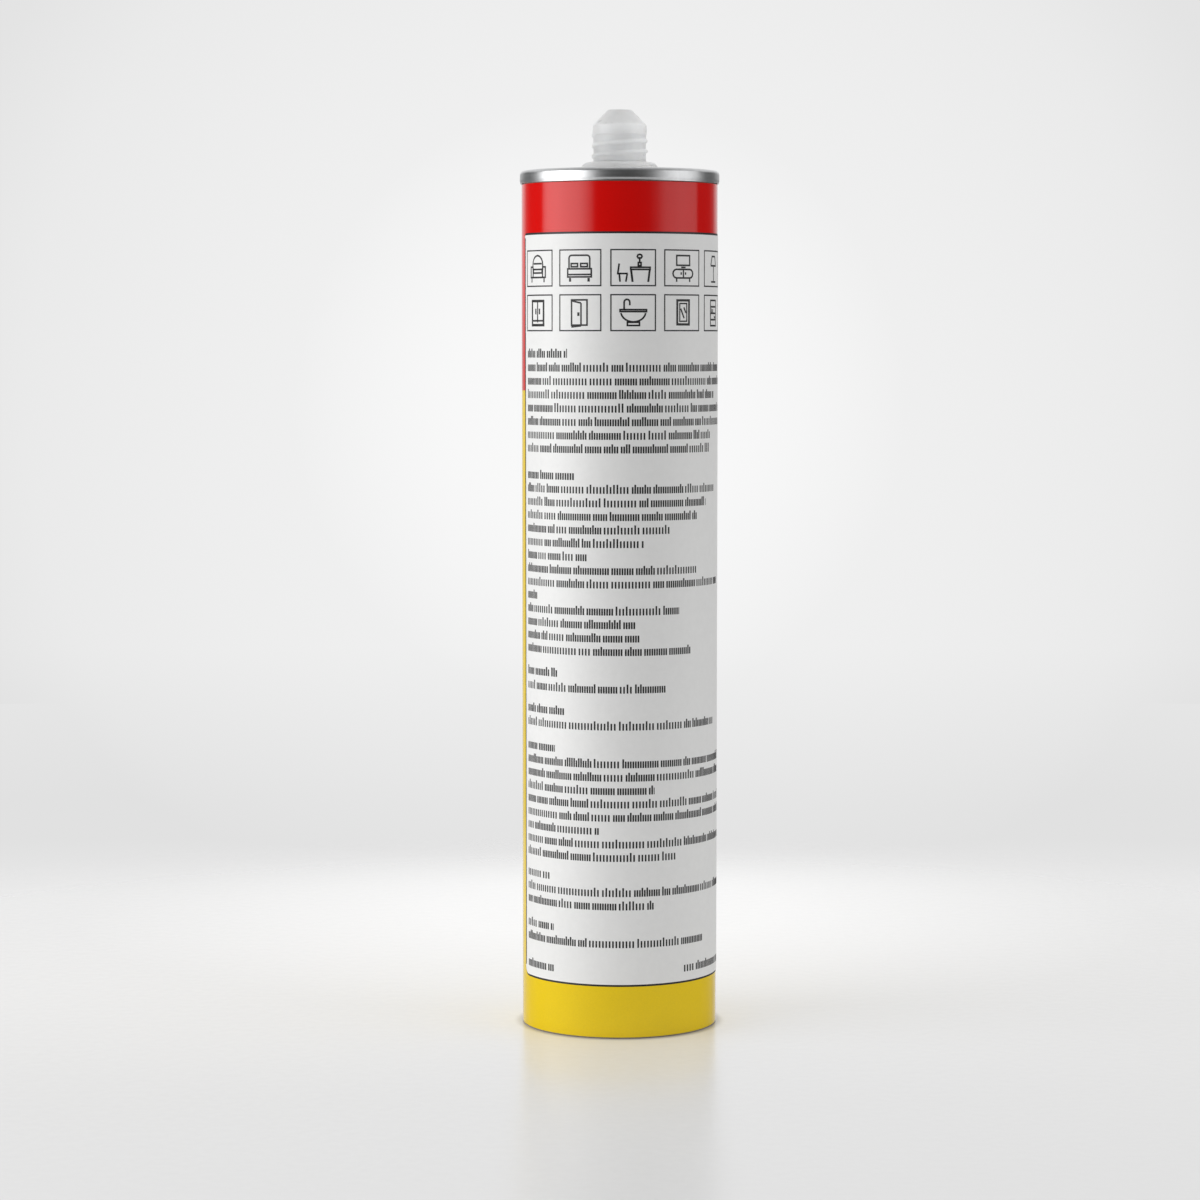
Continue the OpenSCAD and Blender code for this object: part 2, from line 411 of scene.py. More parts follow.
def wound_board():
    """Spiral-wound greyboard: recycled fibre, so dull, warm grey and speckled."""
    material, add = new_material("wound_greyboard")
    fibre, tone = cloudy(add, colours().board, 0.62, grain_mm=0.5, detail=5.0, rough=0.7, span=(0.35, 0.7))
    board = {"Base Color": tone, "Roughness": 0.9, "IOR": 1.47}
    bumpy_skin(add, board, fibre, strength=0.4, depth_mm=0.05)
    return material


def foil_lining():
    """Lacquered aluminium foil, laid on spirally: a milky metal sheen with a lap line every 70 mm up."""
    material, add = new_material("aluminium_foil_lining")
    place = add("TexCoord")["Object"]
    lap = lap_line(add, place, width_mm=0.6)
    # Creases from the winding, about 6 mm apart
    creases = add("TexNoise", {"Vector": place, "Scale": per_metre(6), "Detail": 4.0, "Distortion": 0.6})
    height = add("Math", {0: lap, 1: 2.0, 2: creases["Fac"]}, operation="MULTIPLY_ADD")
    foil = {"Base Color": opaque(linear("#d6d7d8")), "Metallic": 0.7, "Roughness": 0.5}
    bumpy_skin(add, foil, height[0], strength=0.5, depth_mm=0.05)
    return material


def printed_paper():
    """Offset-printed paper under a gloss varnish: two flat inks, a little mottled, and a hard clear sheen."""
    material, add = new_material("varnished_printed_paper")
    place = add("TexCoord")["Object"]
    level = add("SeparateXYZ", {"Vector": place})["Z"]
    edge = sizes().colour_edge
    upper = add("MapRange", {"Value": level, "From Min": edge - 0.04 * MM, "From Max": edge + 0.04 * MM})
    fields = {0: upper["Result"], 6: opaque(colours().yellow), 7: opaque(colours().red)}
    field = add("Mix", fields, data_type="RGBA")
    # Ink lies unevenly on the paper's fibres, about 0.4 mm apart, and drifts slowly over some 25 mm
    mottle = add("TexNoise", {"Vector": place, "Scale": per_metre(0.4), "Detail": 3.0, "Roughness": 0.6})
    drift = add("TexNoise", {"Vector": place, "Scale": per_metre(25), "Detail": 2.0})
    uneven = add("Math", {0: mottle["Fac"], 1: drift["Fac"]}, operation="ADD")
    spread = {"Value": uneven[0], "From Min": 0.6, "From Max": 1.4, "To Min": 0.94, "To Max": 1.06}
    shade = add("MapRange", spread)
    inked = add("VectorMath", {0: field[2], "Scale": shade["Result"]}, operation="SCALE")
    # The wrap follows the board's spiral laps below it as hardly felt ridges
    lap = lap_line(add, place, width_mm=2.5, interpolation_type="SMOOTHSTEP")
    # The varnish dries in shallow waves, about 1.4 mm apart
    peel = add("TexNoise", {"Vector": place, "Scale": per_metre(1.4), "Detail": 2.0})
    height = add("Math", {0: lap, 1: 3.0, 2: peel["Fac"]}, operation="MULTIPLY_ADD")
    varnish = {"Base Color": inked["Vector"], "Roughness": 0.13, "IOR": 1.5}
    bumpy_skin(add, varnish, height[0], strength=0.3, depth_mm=0.012)
    return material


def label_paper():
    """White coated label paper: smooth and slightly shiny, with faint fibre clouds."""
    material, add = new_material("coated_label_paper")
    cloud, tone = cloudy(add, colours().paper, 0.965, grain_mm=1.6, detail=6.0, rough=0.65)
    gloss = add("MapRange", {"Value": cloud, **NOISE_SPAN, "To Min": 0.35, "To Max": 0.43})
    coat = {"Base Color": tone, "Roughness": gloss["Result"], "IOR": 1.43}
    bumpy_skin(add, coat, cloud, strength=0.25, depth_mm=0.012)
    return material


def printing_ink():
    """Black offset ink on coated paper: dark grey where it lies thin, with a soft sheen."""
    material, add = new_material("black_offset_ink")
    _, tone = cloudy(add, colours().ink, 0.7, grain_mm=0.3, detail=3.0, palest=1.4, span=(0.3, 0.75))
    shader = add("BsdfPrincipled", {"Base Color": tone, "Roughness": 0.5, "IOR": 1.5})
    add("OutputMaterial", {"Surface": shader[0]})
    return material


def tinplate():
    """Electrolytic tinplate, drawn and rolled: bright, with fine rings left by the seaming rolls."""
    material, add = new_material("seamed_tinplate")
    place = add("TexCoord")["Object"]
    level = add("SeparateXYZ", {"Vector": place})["Z"]
    flat = add("VectorMath", {0: place, 1: (1, 1, 0)}, operation="MULTIPLY")
    radius = add("VectorMath", {0: flat["Vector"]}, operation="LENGTH")
    rings = add("CombineXYZ", {"X": radius["Value"], "Y": level})["Vector"]
    # Real roll marks are finer, and are drawn 0.25 mm apart so that they show
    roll_mark = {"Scale": per_metre(0.25), "Detail": 4.0, "Roughness": 0.7}
    marks = add("TexNoise", {"Vector": rings, **roll_mark})["Fac"]
    gloss = add("MapRange", {"Value": marks, **NOISE_SPAN, "To Min": 0.27, "To Max": 0.37})
    # The tin's faint spangle, about 1.2 mm across
    _, tone = cloudy(add, colours().tin, 0.9, grain_mm=1.2, detail=3.0)
    tin = {"Base Color": tone, "Metallic": 1.0, "Roughness": gloss["Result"]}
    bumpy_skin(add, tin, marks, strength=0.12, depth_mm=0.01)
    return material


def moulded_plastic(name, shade, depth_mm, roughness, grain_mm, milky=0.5):
    """An unfilled moulded polyolefin: milky, so light runs some way into it, with a waxy skin."""
    material, add = new_material(name)
    flow, tone = cloudy(add, shade, 0.94, grain_mm, detail=4.0, rough=0.6)
    waxy = {"To Min": roughness - 0.04, "To Max": roughness + 0.06}
    gloss = add("MapRange", {"Value": flow, **NOISE_SPAN, **waxy})
    plastic = {
        "Base Color": tone,
        "Roughness": gloss["Result"],
        "IOR": 1.5,
        "Subsurface Weight": milky,
        "Subsurface Radius": (1.0, 0.97, 0.92),
        "Subsurface Scale": depth_mm * MM,
    }
    bumpy_skin(add, plastic, flow, strength=0.3, depth_mm=0.02)
    return material


def sealant_paste():
    """Thick sealant: an opaque paste with a dull, slightly wavy skin."""
    material, add = new_material("sealant_paste")
    waves, tone = cloudy(add, colours().fill, 0.93, grain_mm=5, detail=3.0)
    milky = {"Subsurface Weight": 0.2, "Subsurface Scale": 0.8 * MM}
    paste = {"Base Color": tone, "Roughness": 0.5, "IOR": 1.46, **milky}
    bumpy_skin(add, paste, waves, strength=0.4, depth_mm=0.1)
    return material


# Barrel


class CARTRIDGE_OT_barrel(bpy.types.Operator):
    """Wound board barrel with its foil lining"""

    bl_idname = "cartridge.barrel"
    bl_label = "Barrel"

    def execute(self, context):
        bore = BARREL_R - sizes().board / MM
        mouth = bore + sizes().mouth_ease / MM
        pinch = sizes().seam_bite / MM
        eased = 14  # level up to which the bore is eased
        outline = softened(
            [
                (mouth, 0, 0.15),
                (BARREL_R, 0, 0.1),
                (BARREL_R, WRAP_TOP),
                (BARREL_R - pinch, WRAP_TOP + pinch),
                (BARREL_R - pinch, BARREL_TOP, 0.1),
                (bore, BARREL_TOP, 0.1),
                (bore, eased + 1, 2),
                (mouth, eased, 2),
            ]
        )
        piece = lathe("board_barrel", outline)
        to_metres(piece, wound_board())
        piece.data.materials.append(foil_lining())
        middle = (BARREL_R - 0.1) * MM

        def lining(face):
            centre = face.calc_center_median()
            return math.hypot(centre.x, centre.y) < middle and abs(face.normal.z) < 0.5

        give_faces(piece, 1, lining)
        finish_piece(piece, "cartridge", "wound_board", "tube")
        return {"FINISHED"}


class CARTRIDGE_OT_wrap(bpy.types.Operator):
    """Printed paper wrap, and the lap where its ends meet at the back"""

    bl_idname = "cartridge.wrap"
    bl_label = "Printed wrap"

    def execute(self, context):
        outline = softened(
            [(BARREL_R, WRAP_Z), (WRAP_R, WRAP_Z, 0.05), (WRAP_R, WRAP_TOP, 0.05), (BARREL_R, WRAP_TOP)],
            steps=3,
        )
        piece = lathe("printed_paper_wrap", outline)
        finish = printed_paper()
        to_metres(piece, finish)
        finish_piece(piece, "cartridge", "printed_paper", "printed_wrap")

        # The lap's free edge stands 0.08 mm proud, and its other side runs out into the wrap
        back = math.pi * WRAP_R
        half = 3.5
        lap_t = 0.08
        sunk = 0.04
        lap = flat_panel("wrap_lap", back - half, back + half, WRAP_Z + 0.05, WRAP_TOP - 0.05)
        cut_columns(back - half, back + half, 0.7)
        leave()
        apply_modifier(lap, "SOLIDIFY", thickness=lap_t + sunk, offset=1)
        for point in lap.data.vertices:
            run_out = max(0.0, (back - point.co.x) / half)
            point.co.z -= sunk + (lap_t + 0.01) * run_out
        roll(lap, WRAP_R)
        to_metres(lap, finish)
        finish_piece(lap, "cartridge", "printed_paper")
        return {"FINISHED"}


# Label: heights are millimetres up from the base, and places round it are degrees from the front,
# which on_label turns into millimetres

LABEL_LEFT = -72.5
LABEL_RIGHT = 96.0
LINE = 0.42  # the pictures' line


def on_label(degrees):
    return math.radians(degrees) * LABEL_R


class CARTRIDGE_OT_label(bpy.types.Operator):
    """White label sheet"""

    bl_idname = "cartridge.label"
    bl_label = "Label"

    def execute(self, context):
        thickness = sizes().label_sheet / MM
        left, right = on_label(LABEL_LEFT), on_label(LABEL_RIGHT)
        piece = flat_panel("label_sheet", left, right, LABEL_Z, LABEL_TOP, lower_r=2, upper_r=0.5)
        cut_columns(left, right, 0.8)
        leave()
        apply_modifier(piece, "SOLIDIFY", thickness=thickness, offset=-1)
        roll(piece, LABEL_R)
        to_metres(piece, label_paper())
        finish_piece(piece, "cartridge", "label_paper", "info_label")
        return {"FINISHED"}


def bar(x, y, width, height, turn=0):
    """A plain printed bar, from its middle. The drawing is in edit mode."""
    bpy.ops.mesh.primitive_plane_add(size=1, location=(x, y, 0))
    bpy.ops.transform.resize(value=(width, height, 1), center_override=(x, y, 0))
    if turn:
        turn_flat(turn, (x, y, 0))


def box(left, low, width, height, line=LINE):
    """A printed outline of a box."""
    bar(left + width / 2, low + line / 2, width, line)
    bar(left + width / 2, low + height - line / 2, width, line)
    bar(left + line / 2, low + height / 2, line, height - 2 * line)
    bar(left + width - line / 2, low + height / 2, line, height - 2 * line)


def curve(x, y, radius_x, radius_y, start, end, steps=10):
    """A printed round line, as short bars that overlap at their ends."""
    angles = [math.radians(start + (end - start) * i / steps) for i in range(steps + 1)]
    points = [(x + radius_x * math.cos(a), y + radius_y * math.sin(a)) for a in angles]
    for (ax, ay), (bx, by) in zip(points, points[1:]):
        turn = math.degrees(math.atan2(by - ay, bx - ax))
        bar((ax + bx) / 2, (ay + by) / 2, math.hypot(bx - ax, by - ay) + LINE / 2, LINE, turn)


# Plain pictures of rooms' fittings: shapes, each with its place from the lower left corner of the frame
ARMCHAIR = (
    (curve, 5.7, 5.4, 2.2, 2.3, 0, 180), (bar, 3.5, 4.9, LINE, 1.4),
    (bar, 7.9, 4.9, LINE, 1.4), (bar, 5.7, 5.7, 3.6, LINE), (box, 3.6, 3.2, 4.2, 1.3),
    (box, 2.3, 2.1, 1.5, 3.0), (box, 7.6, 2.1, 1.5, 3.0), (bar, 5.7, 2.3, 4.0, LINE),
    (bar, 3.0, 1.6, LINE, 1.0), (bar, 8.4, 1.6, LINE, 1.0),
)
BED = (
    (bar, 5.7, 7.6, 4.2, LINE), (curve, 3.6, 6.9, 0.7, 0.7, 90, 180, 3),
    (curve, 7.8, 6.9, 0.7, 0.7, 0, 90, 3), (bar, 2.9, 5.6, LINE, 2.7),
    (bar, 8.5, 5.6, LINE, 2.7), (box, 3.3, 4.6, 2.2, 1.2), (box, 5.9, 4.6, 2.2, 1.2),
    (box, 2.3, 2.1, 6.8, 2.4), (bar, 5.7, 2.9, 6.4, LINE), (bar, 3.2, 1.6, 0.6, 0.9),
    (bar, 8.2, 1.6, 0.6, 0.9),
)
CHAIR_AND_TABLE = (
    (bar, 2.0, 4.2, LINE, 2.7, -8), (bar, 3.1, 3.1, 2.4, LINE),
    (bar, 2.3, 2.1, LINE, 2.0, 6), (bar, 4.0, 2.1, LINE, 2.0, -10),
    (box, 4.8, 3.9, 5.3, 0.95), (bar, 5.3, 2.5, LINE * 1.2, 2.9, 7),
    (bar, 9.6, 2.5, LINE * 1.2, 2.9, -7), (box, 6.7, 4.8, 1.1, 1.2),
    (bar, 7.25, 6.5, LINE, 1.3), (curve, 7.25, 7.3, 0.6, 0.5, 0, 360, 8),
)
PICTURE_OVER_CABINET = (
    (box, 3.4, 5.0, 4.6, 2.8), (bar, 5.7, 4.7, 1.4, LINE), (bar, 5.7, 4.2, 4.6, LINE),
    (bar, 5.7, 2.1, 4.6, LINE), (curve, 3.5, 3.15, 1.0, 1.05, 90, 270, 6),
    (curve, 7.9, 3.15, 1.0, 1.05, -90, 90, 6), (bar, 5.7, 3.15, LINE, 2.0),
    (bar, 5.0, 3.2, LINE, 0.6), (bar, 6.4, 3.2, LINE, 0.6), (bar, 3.6, 1.6, LINE, 0.9),
    (bar, 7.8, 1.6, LINE, 0.9),
)
FLOOR_LAMP = (
    (bar, 5.7, 1.3, 3.4, LINE), (bar, 5.7, 3.4, LINE, 4.0), (bar, 5.7, 5.3, 4.0, LINE),
    (bar, 4.2, 6.5, LINE, 2.3, -20), (bar, 7.2, 6.5, LINE, 2.3, 20),
    (bar, 5.7, 7.6, 2.5, LINE),
)
WARDROBE = (
    (box, 2.9, 1.2, 5.6, 6.6, LINE * 1.5), (bar, 5.7, 4.8, LINE, 5.2),
    (bar, 5.7, 2.6, 5.0, LINE), (bar, 4.9, 4.9, LINE * 1.3, 1.4),
    (bar, 6.5, 4.9, LINE * 1.3, 1.4),
)
DOOR = (
    (box, 3.4, 1.3, 4.6, 6.6), (bar, 6.2, 4.1, LINE, 5.6), (bar, 4.9, 7.2, 2.7, LINE, -12),
    (bar, 4.9, 1.2, 2.7, LINE, 6), (bar, 5.5, 4.2, 0.6, 0.9),
)
BASIN = (
    (box, 2.2, 4.6, 7.0, 0.9), (curve, 5.7, 4.8, 3.1, 2.5, 190, 350, 12),
    (box, 4.0, 1.2, 3.4, 1.2), (bar, 3.4, 6.3, LINE, 1.7),
    (curve, 4.1, 7.1, 0.7, 0.7, 0, 180, 6), (bar, 4.8, 6.7, LINE, 0.7),
)
MIRROR = (
    (box, 3.5, 1.4, 4.4, 6.5, LINE * 1.4), (box, 4.4, 2.3, 2.6, 4.7, LINE * 0.8),
    (bar, 5.4, 4.4, LINE, 2.6, 25), (bar, 6.2, 5.2, LINE, 1.5, 25),
)
SHELVES = (
    (box, 3.4, 1.2, 4.6, 6.7), (bar, 5.7, 2.9, 4.0, LINE), (bar, 5.7, 4.5, 4.0, LINE),
    (bar, 5.7, 6.1, 4.0, LINE), (bar, 4.4, 5.2, 0.5, 0.9), (bar, 5.2, 5.1, 0.4, 0.8),
    (bar, 6.7, 3.5, 1.0, 0.6),
)
PICTURES = (
    (ARMCHAIR, BED, CHAIR_AND_TABLE, PICTURE_OVER_CABINET, FLOOR_LAMP),
    (WARDROBE, DOOR, BASIN, MIRROR, SHELVES),
)
PICTURE_LEFTS = [-68.6 + 31.5 * i for i in range(5)]
PICTURE_LOWS = (186.8, 175.8)
PICTURE_W = 11.45
PICTURE_H = 9.1
FRAME_LINE = 0.32

# Blocks of small print: level and length of the heading, level of the first row, and each row's length
PRINT_BLOCKS = (
    (170.4, 15.5, 167.0, (64, 65, 60, 65, 65, 58, 57)),
    (140.3, 17.5, 137.0, (60, 55, 51, 42, 35, 21, 51, 63, 5, 45, 33, 34, 49)),
    (91.2, 12.3, 87.6, (41,)),
    (81.8, 14.5, 78.4, (60,)),
    (72.4, 11.5, 69.0, (65, 65, 38, 65, 66, 24, 66, 44)),
    (40.2, 10.0, 36.8, (66, 38)),
    (27.4, 11.0, 24.0, (54,)),
)
PRINT_LEFT = -67.5
FOOT_LEVEL = 17.0
FOOT_LINES = ((PRINT_LEFT, 11), (40.5, 19))  # place of the left end, and length
ROW_PITCH = 3.34
CELL_W = 0.21
CELL_H = 0.56
CELL_ROWS = 4
HEADING_SCALE = 1.15
HEAVY_SHARE = 0.65  # of the words, printed with less white between their dashes
TALL_SHARE = 0.14  # of the dashes, as tall as a capital


def mark_columns(columns, source):
    """For each column of a row of small print, its number of inked cells: words of plain upright dashes."""
    chosen = []
    while len(chosen) < columns:
        heavy = source.random() < HEAVY_SHARE
        for _ in range(source.randint(4, 15)):
            tall = CELL_ROWS if source.random() < TALL_SHARE else CELL_ROWS - 1
            chosen += [tall, tall, 0] if heavy else [tall, tall, 0, 0]
        chosen += [0, 0]
    return chosen[:columns]


def print_row(left, level, width, source, heading=False):
    """One row of small print as upright dashes, in a flat drawing of its own."""
    cell_w = CELL_W * (HEADING_SCALE if heading else 1)
    columns = max(3, round(width / cell_w))
    wide = columns * cell_w
    grid = {"x_subdivisions": columns, "y_subdivisions": CELL_ROWS, "location": (left + wide / 2, level, 0)}
    row = begin("print_row", bpy.ops.mesh.primitive_grid_add, size=1, **grid)
    bpy.ops.transform.resize(value=(wide, CELL_ROWS * CELL_H, 1), center_override=row.location)
    chosen = mark_columns(columns, source)

    def bare(face):
        centre = face.calc_center_median()
        column = min(int(centre.x / cell_w + columns / 2), columns - 1)
        return int(centre.y / CELL_H + CELL_ROWS / 2) >= chosen[column]

    select(row, "FACE", bare)
    bpy.ops.mesh.delete(type="FACE")
    select_all()
    bpy.ops.mesh.dissolve_limited(angle_limit=0.01)
    leave()
    return row


class CARTRIDGE_OT_outline(bpy.types.Operator):
    """A dark line on the wrap, round the label"""

    bl_idname = "cartridge.outline"
    bl_label = "Label outline"

    def execute(self, context):
        line = 0.55
        under = 0.04
        edge = line - under
        left = math.radians(LABEL_LEFT) * WRAP_R - edge
        right = math.radians(LABEL_RIGHT) * WRAP_R + edge
        low, high = LABEL_Z - edge, LABEL_TOP + edge
        piece = flat_panel("label_outline", left, right, low, high, lower_r=2.5, upper_r=1.0)
        bpy.ops.mesh.select_mode(type="FACE")
        select_all()
        bpy.ops.mesh.inset(thickness=line, depth=0)
        bpy.ops.mesh.delete(type="FACE")
        cut_columns(left, right, 0.8)
        leave()
        ink = sizes().ink / MM
        apply_modifier(piece, "SOLIDIFY", thickness=ink + 0.01, offset=-1)
        roll(piece, WRAP_R, proud=ink)
        to_metres(piece, printing_ink())
        finish_piece(piece, "cartridge", None)
        return {"FINISHED"}


class CARTRIDGE_OT_print(bpy.types.Operator):
    """Print on the label: boxed pictures and rows of upright dashes"""

    bl_idname = "cartridge.print"
    bl_label = "Label print"

    def execute(self, context):
        ink = sizes().ink / MM
        left, right = on_label(LABEL_LEFT), on_label(LABEL_RIGHT)
        pictures = begin("print_pictures")
        bpy.ops.mesh.delete(type="VERT")
        for low, row in zip(PICTURE_LOWS, PICTURES):
            for degrees, picture in zip(PICTURE_LEFTS, row):
                start = on_label(degrees)
                box(start, low, PICTURE_W, PICTURE_H, FRAME_LINE)
                for shape, x, y, *rest in picture:
                    shape(start + x, low + y, *rest)
        # The label's own edge hides most of the outline on the left, so the line runs on over that edge,
        # between its rounded corners
        low, high = LABEL_Z + 2.25, LABEL_TOP - 0.75
        bar(left + 0.3, (low + high) / 2, 0.52, high - low)
        select_all()
        bpy.ops.mesh.normals_make_consistent(inside=False)
        cut_columns(left, right, 0.8)
        leave()

        source = random.Random(7)
        start = on_label(PRINT_LEFT)
        rows = []
        for heading, heading_w, first, widths in PRINT_BLOCKS:
            rows.append(print_row(start, heading, heading_w, source, heading=True))
            for i, width in enumerate(widths):
                rows.append(print_row(start, first - ROW_PITCH * i, width, source))
        for degrees, width in FOOT_LINES:
            rows.append(print_row(on_label(degrees), FOOT_LEVEL, width, source, heading=True))

        only(pictures)
        for drawing in rows:
            drawing.select_set(True)
        bpy.ops.object.join()
        piece = named("label_print")
        only(piece)
        bpy.ops.object.transform_apply(location=True, rotation=True, scale=True)
        for face in piece.data.polygons:
            if face.normal.z < 0:
                face.flip()
        apply_modifier(piece, "SOLIDIFY", thickness=ink + 0.01, offset=-1)
        roll(piece, LABEL_R, proud=ink)
        to_metres(piece, printing_ink())
        finish_piece(piece, "cartridge", None)
        return {"FINISHED"}


# Seamed end, nozzle stub and fill

PAD_TOP = END_TOP - 1.3
HOLE_R = 7.6


class CARTRIDGE_OT_end(bpy.types.Operator):
    """Tinplate end: rolled rim, countersink, panel and pad, in one sheet"""

    bl_idname = "cartridge.end"
    bl_label = "Seamed end"

    def execute(self, context):
        sheet = sizes().sheet_metal / MM
        half = sheet / 2
        seam_low = END_TOP - sizes().seam_height / MM
        skirt = END_R - half
        chuck = BARREL_R - 0.7 - half
        crown = END_TOP - half
        sink = END_Z + half
        panel = END_TOP - 3.2 - half
        pad = PAD_TOP - half
        pinch = WRAP_R + half + 0.02
        path = softened(
            [
                (pinch, seam_low + 0.02),
                (pinch, seam_low + 0.25, 0.12),
                (skirt, seam_low + 0.75, 0.35),
                (skirt, crown, 0.85),
                (chuck, crown, 0.45),
                (chuck, sink, 0.55),
                (chuck - 1.9, sink, 0.55),
                (chuck - 1.9, panel, 0.45),
                (14.6, panel, 0.8),
                (13, pad, 0.8),
                (HOLE_R, pad),
            ],
            closed=False,
            steps=8,
        )
        piece = lathe("seamed_metal_end", path, closed=False)
        apply_modifier(piece, "SOLIDIFY", thickness=sheet, offset=0, use_even_offset=True)
        to_metres(piece, tinplate())
        finish_piece(piece, "cartridge", "tinplate", "top_end")
        return {"FINISHED"}


ROOT_R = 6.62
PILOT_R = 6.82
FLANGE_TOP = 218.15
THREAD_START = 90.0  # degrees
THREAD_TURNS = 2.39
THREAD_FADE = 50.0  # degrees over which the ridge runs in and out


def thread_ridge():
    """The thread as a rounded ridge that climbs round the stub and runs in and out of its root."""
    rise = sizes().thread_height / MM
    pitch = sizes().thread_pitch / MM
    sunk = 0.4
    # Upper half of its section: how far out of the root, and how far up from the ridge's middle
    upper = [(-sunk, 0.86), (0.0, 0.62), (0.12, 0.5), (rise - 0.08, 0.3), (rise, 0.16)]
    profile = [(out, -up) for out, up in upper] + upper[::-1]
    points = [(ROOT_R + out, 0, up) for out, up in profile]
    piece = draw_line("thread_ridge", [*points, points[0]])
    leave()
    steps = 172
    sweep = 360 * THREAD_TURNS
    apply_modifier(
        piece,
        "SCREW",
        angle=math.radians(sweep),
        screw_offset=pitch * THREAD_TURNS,
        steps=steps,
        render_steps=steps,
        axis="Z",
        use_normal_calculate=True,
    )
    edit(piece)
    bpy.ops.mesh.select_all(action="DESELECT")
    bpy.ops.mesh.select_non_manifold()
    bpy.ops.mesh.fill_holes(sides=0)
    select_all()
    bpy.ops.mesh.normals_make_consistent(inside=False)
    leave()
    sunk_r = ROOT_R - sunk
    for point in piece.data.vertices:
        # The climb tells how far along the ridge a point is, to within its own half width
        around = math.degrees(math.atan2(point.co.y, point.co.x)) % 360
        turns = round((point.co.z / pitch * 360 - around) / 360)
        along = turns * 360 + around
        share = max(0.0, min(1.0, along / THREAD_FADE, (sweep - along) / THREAD_FADE))
        share = share * share * (3 - 2 * share)
        radius = math.hypot(point.co.x, point.co.y)
        change = (sunk_r + (radius - sunk_r) * (0.25 + 0.75 * share)) / radius
        point.co.x *= change
        point.co.y *= change
    edit(piece)
    select_all()
    turn_flat(THREAD_START, (0, 0, 0))
    bpy.ops.transform.translate(value=(0, 0, FLANGE_TOP + 0.85))
    leave()
    return piece


class CARTRIDGE_OT_stub(bpy.types.Operator):
    """Nozzle stub: domed flange, threaded neck, plain band and closed cone"""

    bl_idname = "cartridge.stub"
    bl_label = "Nozzle stub"

    def execute(self, context):
        cone_z = STUB_TOP - (PILOT_R - 3)
        pilot_z = cone_z - 2.3
        outline = softened(
            [
                (5.2, STUB_Z, 0.2),
                (9.2, STUB_Z, 0.3),
                (9.2, PAD_TOP - 0.3, 0.15),
                (HOLE_R, PAD_TOP - 0.3),
                (HOLE_R, PAD_TOP),
                (STUB_R, PAD_TOP, 0.1),
                (STUB_R, FLANGE_TOP, 2.2),
                (ROOT_R, FLANGE_TOP, 0.5),
                (ROOT_R, pilot_z - 0.2, 0.3),
                (PILOT_R, pilot_z, 0.2),
                (PILOT_R, cone_z, 0.35),
                (3.0, STUB_TOP, 0.35),
                (0, STUB_TOP),
                (0, STUB_TOP - 1.1),
                (1.6, STUB_TOP - 1.1, 0.3),
                (5.2, cone_z - 1.1, 0.5),
            ],
            steps=7,
        )
        piece = lathe("nozzle_stub", outline, steps=192)
        unite(piece, thread_ridge())
        finish = moulded_plastic(
            "natural_polypropylene", colours().stub, depth_mm=6.0, roughness=0.3, grain_mm=2.5, milky=1.0
        )
        to_metres(piece, finish, sharp=40)
        finish_piece(piece, "cartridge", "spout_plastic", "spout")
        return {"FINISHED"}


class CARTRIDGE_OT_fill(bpy.types.Operator):
    """Sealant fill, which shortens as the piston rises"""

    bl_idname = "cartridge.fill"
    bl_label = "Fill"

    def execute(self, context):
        outline = softened(
            [(0, FILL_Z), (FILL_R, FILL_Z, 0.4), (FILL_R, FILL_TOP, 1.5), (0, FILL_TOP)], steps=6
        )
        piece = lathe("sealant_fill", outline, steps=128)
        to_metres(piece, sealant_paste())
        finish_piece(piece, "cartridge", "sealant", "adhesive")
        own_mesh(piece)
        return {"FINISHED"}


RIBS = 8
BOSS_R = 4.5


def bead(body, low):
    """A bead round the piston's skirt, from above its lower bend to its upper one."""
    return [(PISTON_R, low + 0.7, 0.4), (PISTON_R, low + 1.9, 0.4), (body, low + 2.6, 0.5)]


